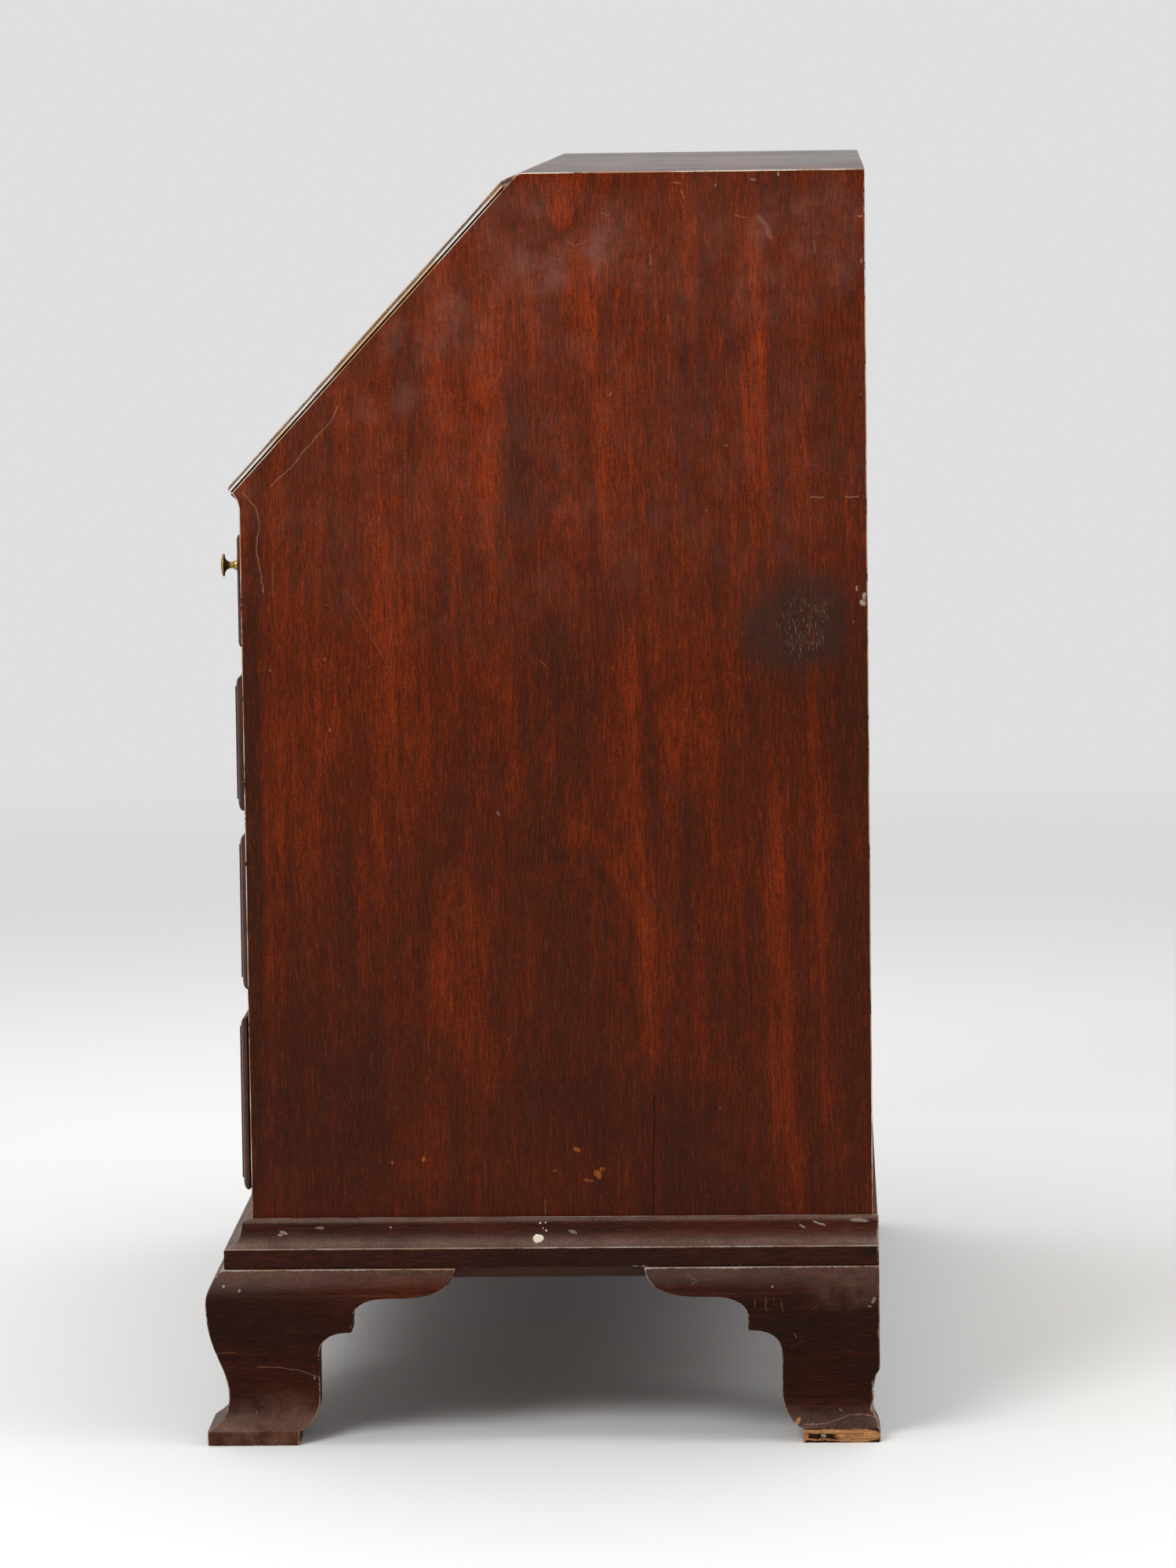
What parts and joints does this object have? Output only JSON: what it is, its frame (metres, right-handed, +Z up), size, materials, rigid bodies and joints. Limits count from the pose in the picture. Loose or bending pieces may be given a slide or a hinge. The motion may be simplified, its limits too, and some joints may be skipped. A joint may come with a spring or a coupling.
{
  "type": "slant-front desk",
  "caption": "Mahogany slant-front desk: lipped drawers with bail pulls on ogee bracket feet, a hinged lid that rests on sliding lopers, and a pigeonhole gallery inside.",
  "frame": {"origin": "middle of the footprint, on the floor", "axes": "+Z up, -Y towards the front where the drawers open, +X to the right of someone facing the front"},
  "size_m": [1.0654, 0.5678, 1.067],
  "materials": {
    "case_wood": "old shellac polish over red-brown mahogany, scratched and bloomed",
    "dark_wood": "darkened mahogany with worn pale arrises",
    "plain_wood": "unpolished secondary wood, browned with age",
    "brass": "aged brass, softly polished where it is handled"
  },
  "bodies": {
    "case": {"side_left": "case_wood", "side_right": "case_wood", "top_board": "case_wood", "writing_board": "case_wood", "case_bottom": "case_wood", "divider_over_bottom_drawer": "case_wood", "divider_over_lower_drawer": "case_wood", "divider_over_upper_drawer": "case_wood", "loper_partition_left": "case_wood", "loper_partition_right": "case_wood", "back_board_lower": "plain_wood", "back_board_upper": "plain_wood", "base_frame": "plain_wood", "base_moulding_front": "dark_wood", "base_moulding_left": "dark_wood", "base_moulding_right": "dark_wood", "front_foot_left": "dark_wood", "front_foot_right": "dark_wood", "rear_foot_left": "dark_wood", "rear_foot_right": "dark_wood", "bed_hinge_leaf_left": "brass", "bed_hinge_leaf_right": "brass", "gallery_partitions": "case_wood", "gallery_valance": "case_wood"},
    "lid": {"lid_panel": "case_wood", "lid_cleat_left": "case_wood", "lid_cleat_right": "case_wood", "lid_hinge_leaf_left": "brass", "lid_hinge_leaf_right": "brass"},
    "loper_left": {"loper_left": "dark_wood", "loper_knob_left": "brass"},
    "loper_right": {"loper_right": "dark_wood", "loper_knob_right": "brass"},
    "drawer_bottom": {"drawer_front_bottom": "dark_wood", "drawer_box_bottom": "plain_wood", "pull_plate_bottom_left": "brass", "pull_plate_bottom_right": "brass"},
    "bail_bottom_left": {"pull_bail_bottom_left": "brass"},
    "bail_bottom_right": {"pull_bail_bottom_right": "brass"},
    "drawer_lower": {"drawer_front_lower": "dark_wood", "drawer_box_lower": "plain_wood", "pull_plate_lower_left": "brass", "pull_plate_lower_right": "brass"},
    "bail_lower_left": {"pull_bail_lower_left": "brass"},
    "bail_lower_right": {"pull_bail_lower_right": "brass"},
    "drawer_upper": {"drawer_front_upper": "dark_wood", "drawer_box_upper": "plain_wood", "pull_plate_upper_left": "brass", "pull_plate_upper_right": "brass"},
    "bail_upper_left": {"pull_bail_upper_left": "brass"},
    "bail_upper_right": {"pull_bail_upper_right": "brass"},
    "drawer_top": {"drawer_front_top": "dark_wood", "drawer_box_top": "plain_wood", "pull_plate_top_left": "brass", "pull_plate_top_right": "brass"},
    "bail_top_left": {"pull_bail_top_left": "brass"},
    "bail_top_right": {"pull_bail_top_right": "brass"},
    "small_drawer_left": {"small_drawer_left": "case_wood"},
    "small_drawer_middle": {"small_drawer_middle": "case_wood"},
    "small_drawer_right": {"small_drawer_right": "case_wood"}
  },
  "joints": [
    {"name": "lid_hinge", "type": "hinge", "parent": "case", "child": "lid", "pos_m": [0, -0.24315, 0.7895], "axis": [1, 0, 0], "range_deg": [0, 132.6]},
    {"name": "loper_left_slide", "type": "slide", "parent": "case", "child": "loper_left", "axis": [0, -1, 0], "range_m": [0, 0.28]},
    {"name": "loper_right_slide", "type": "slide", "parent": "case", "child": "loper_right", "axis": [0, -1, 0], "range_m": [0, 0.28]},
    {"name": "drawer_bottom_slide", "type": "slide", "parent": "case", "child": "drawer_bottom", "axis": [0, -1, 0], "range_m": [0, 0.33]},
    {"name": "bail_bottom_left_swing", "type": "hinge", "parent": "drawer_bottom", "child": "bail_bottom_left", "pos_m": [-0.2294, -0.26705, 0.2855], "axis": [-1, 0, 0], "range_deg": [0, 90]},
    {"name": "bail_bottom_right_swing", "type": "hinge", "parent": "drawer_bottom", "child": "bail_bottom_right", "pos_m": [0.2294, -0.26705, 0.2855], "axis": [-1, 0, 0], "range_deg": [0, 90]},
    {"name": "drawer_lower_slide", "type": "slide", "parent": "case", "child": "drawer_lower", "axis": [0, -1, 0], "range_m": [0, 0.33]},
    {"name": "bail_lower_left_swing", "type": "hinge", "parent": "drawer_lower", "child": "bail_lower_left", "pos_m": [-0.2294, -0.26475, 0.4491], "axis": [-1, 0, 0], "range_deg": [0, 90]},
    {"name": "bail_lower_right_swing", "type": "hinge", "parent": "drawer_lower", "child": "bail_lower_right", "pos_m": [0.2294, -0.26475, 0.4491], "axis": [-1, 0, 0], "range_deg": [0, 90]},
    {"name": "drawer_upper_slide", "type": "slide", "parent": "case", "child": "drawer_upper", "axis": [0, -1, 0], "range_m": [0, 0.33]},
    {"name": "bail_upper_left_swing", "type": "hinge", "parent": "drawer_upper", "child": "bail_upper_left", "pos_m": [-0.2294, -0.26565, 0.59225], "axis": [-1, 0, 0], "range_deg": [0, 90]},
    {"name": "bail_upper_right_swing", "type": "hinge", "parent": "drawer_upper", "child": "bail_upper_right", "pos_m": [0.2294, -0.26565, 0.59225], "axis": [-1, 0, 0], "range_deg": [0, 90]},
    {"name": "drawer_top_slide", "type": "slide", "parent": "case", "child": "drawer_top", "axis": [0, -1, 0], "range_m": [0, 0.33]},
    {"name": "bail_top_left_swing", "type": "hinge", "parent": "drawer_top", "child": "bail_top_left", "pos_m": [-0.2294, -0.26475, 0.72115], "axis": [-1, 0, 0], "range_deg": [0, 90]},
    {"name": "bail_top_right_swing", "type": "hinge", "parent": "drawer_top", "child": "bail_top_right", "pos_m": [0.2294, -0.26475, 0.72115], "axis": [-1, 0, 0], "range_deg": [0, 90]},
    {"name": "small_drawer_left_slide", "type": "slide", "parent": "case", "child": "small_drawer_left", "axis": [0, -1, 0], "range_m": [0, 0.17]},
    {"name": "small_drawer_middle_slide", "type": "slide", "parent": "case", "child": "small_drawer_middle", "axis": [0, -1, 0], "range_m": [0, 0.17]},
    {"name": "small_drawer_right_slide", "type": "slide", "parent": "case", "child": "small_drawer_right", "axis": [0, -1, 0], "range_m": [0, 0.17]}
  ]
}
